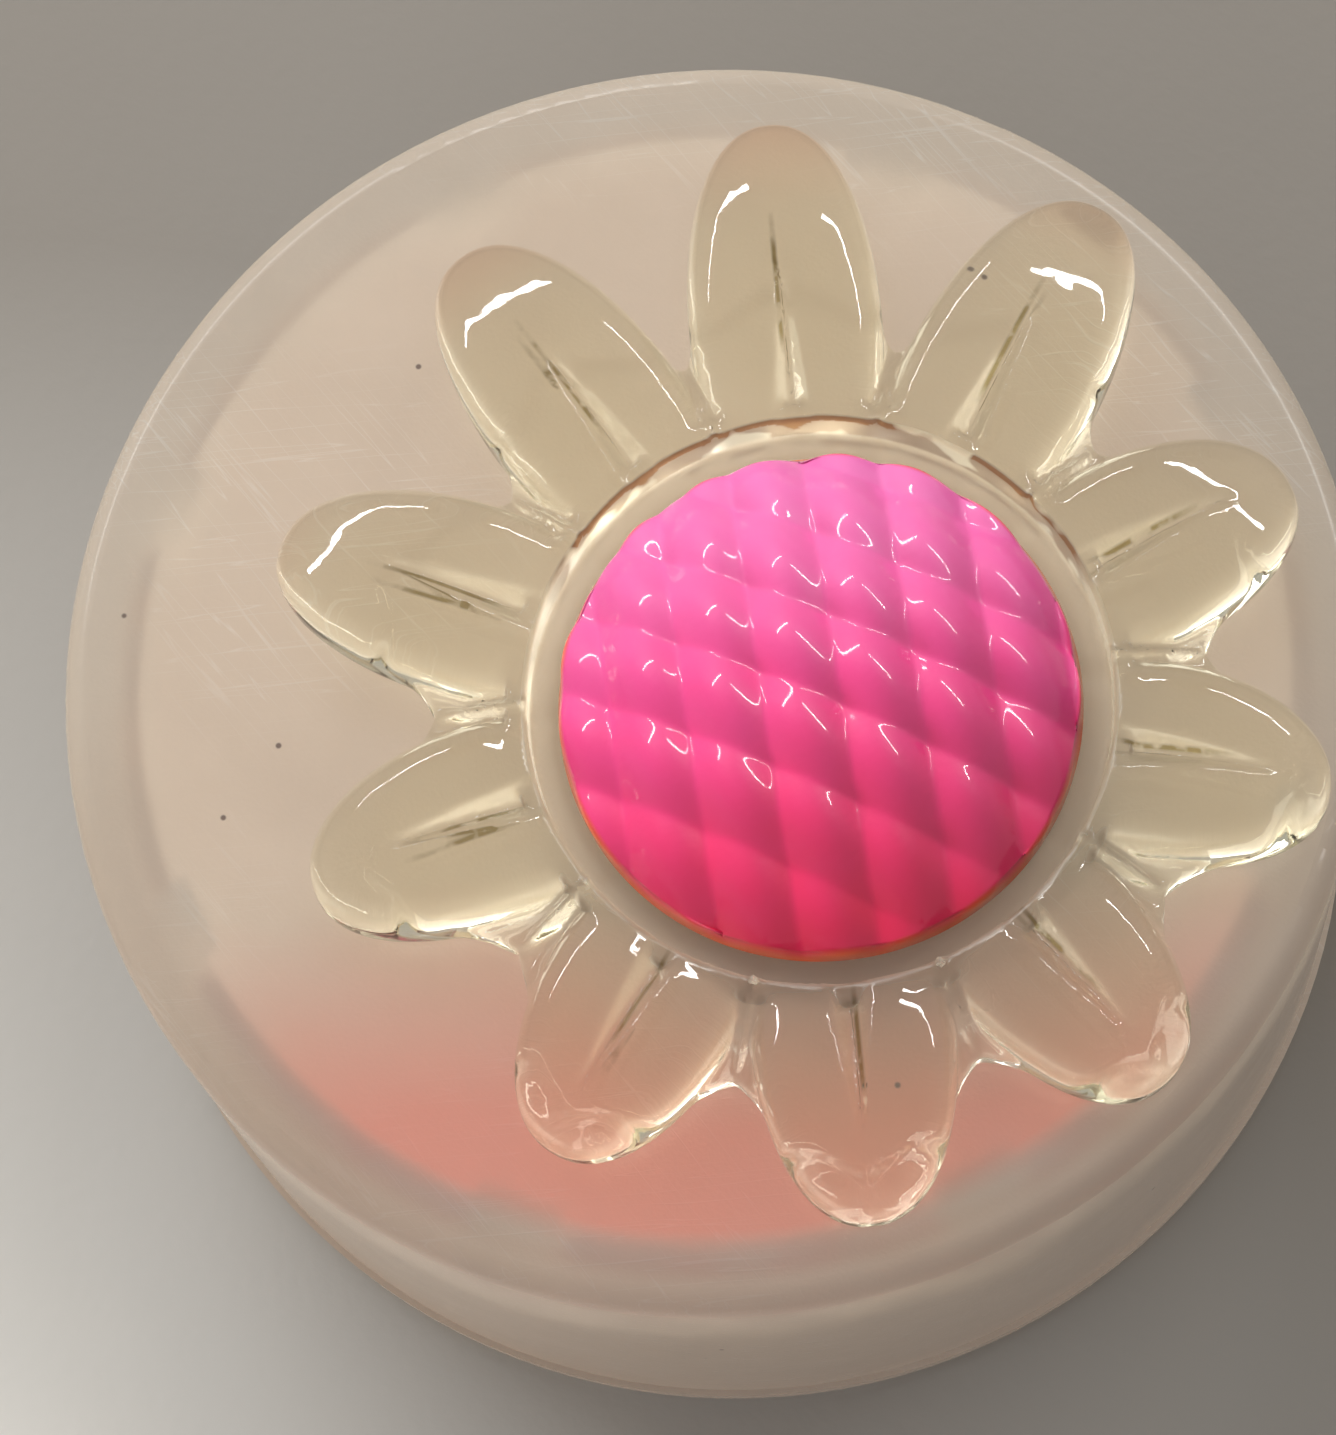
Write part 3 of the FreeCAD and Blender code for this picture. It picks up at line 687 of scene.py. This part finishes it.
def camera_axes():
    """The camera's right, its up and the way from what it sees back to it."""
    a, e = math.radians(CAMERA_AZIMUTH), math.radians(CAMERA_ELEVATION)
    roll = math.radians(CAMERA_ROLL)
    back = Vector((math.sin(a) * math.cos(e), -math.cos(a) * math.cos(e), math.sin(e)))
    level_right = Vector((math.cos(a), math.sin(a), 0))
    level_up = back.cross(level_right)
    right = level_right * math.cos(roll) - level_up * math.sin(roll)
    up = level_right * math.sin(roll) + level_up * math.cos(roll)
    return right, up, back


def build_camera():
    right, up, back = camera_axes()
    place = PLATE_TOP + back * CAMERA_DISTANCE - right * CAMERA_LEFT - up * CAMERA_DOWN
    data = bpy.data.cameras.new("camera")
    data.lens = CAMERA_LENS
    data.sensor_width = CAMERA_SENSOR
    data.clip_start = CAMERA_CLIP
    camera = bpy.data.objects.new("camera", data)
    bpy.context.scene.collection.objects.link(camera)
    turn = Matrix((right, up, back)).transposed().to_4x4()
    camera.matrix_world = Matrix.Translation(place) @ turn
    bpy.context.scene.camera = camera


def area_lamp(name, place, target, up, width, height, power):
    data = bpy.data.lights.new(name, "AREA")
    data.shape = "RECTANGLE"
    data.size, data.size_y = width, height
    data.energy = power
    lamp = bpy.data.objects.new(name, data)
    bpy.context.scene.collection.objects.link(lamp)
    aim(lamp, place, target, up)
    return lamp


def build_light():
    """A dim sky that looks brighter than the light it gives, and the lamps."""
    world = bpy.data.worlds.new("studio")
    bpy.context.scene.world = world
    world.use_nodes = True
    tree = world.node_tree
    lit, seen = tree.nodes["Background"], node(tree, "ShaderNodeBackground")
    for sky, strength in ((lit, SKY_LIGHT), (seen, SKY_SEEN)):
        sky.inputs["Color"].default_value = SKY_COLOUR
        sky.inputs["Strength"].default_value = strength
    path, mix = node(tree, "ShaderNodeLightPath"), node(tree, "ShaderNodeMixShader")
    tree.links.new(path.outputs["Is Diffuse Ray"], mix.inputs["Fac"])
    tree.links.new(seen.outputs[0], mix.inputs[1])
    tree.links.new(lit.outputs[0], mix.inputs[2])
    tree.links.new(mix.outputs[0], tree.nodes["World Output"].inputs["Surface"])
    right, _, _ = camera_axes()
    flat_right = Vector((right.x, right.y, 0)).normalized()
    away = Vector((0, 0, 1)).cross(flat_right)
    for name, ends, width, power, shows in LAMPS:
        first, last = (
            PLATE_TOP + flat_right * r + away * a + Vector((0, 0, h)) for r, a, h in ends
        )
        along = last - first
        middle = (first + last) / 2
        lamp = area_lamp(name, middle, PLATE_TOP, along.normalized(), width, along.length, power)
        lamp.visible_glossy = shows


def settle_looks():
    scene = bpy.context.scene
    scene.view_settings.view_transform = "Standard"
    scene.view_settings.look = "None"


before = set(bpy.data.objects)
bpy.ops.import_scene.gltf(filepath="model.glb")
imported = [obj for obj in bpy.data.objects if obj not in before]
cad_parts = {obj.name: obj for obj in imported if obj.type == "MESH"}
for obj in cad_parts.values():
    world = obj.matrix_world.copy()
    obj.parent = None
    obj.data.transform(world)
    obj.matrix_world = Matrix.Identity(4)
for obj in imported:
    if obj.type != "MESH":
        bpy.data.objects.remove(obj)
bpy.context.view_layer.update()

daisy = build_daisy()
dress(daisy, clear_petal_material())
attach(daisy, "flower")
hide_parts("daisy")

dome = build_dome()
dress(dome, neon_material())
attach(dome, "flower")
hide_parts("daisy_centre")

dress(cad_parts["outer_shell"], frosted_material())
dress(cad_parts["inner_cap"], pink_insert_material())
dress(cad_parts["foam_liner"], foam_material())
dress(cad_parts["retaining_ring"], steel_material())

build_floor()
build_light()
build_camera()
settle_looks()
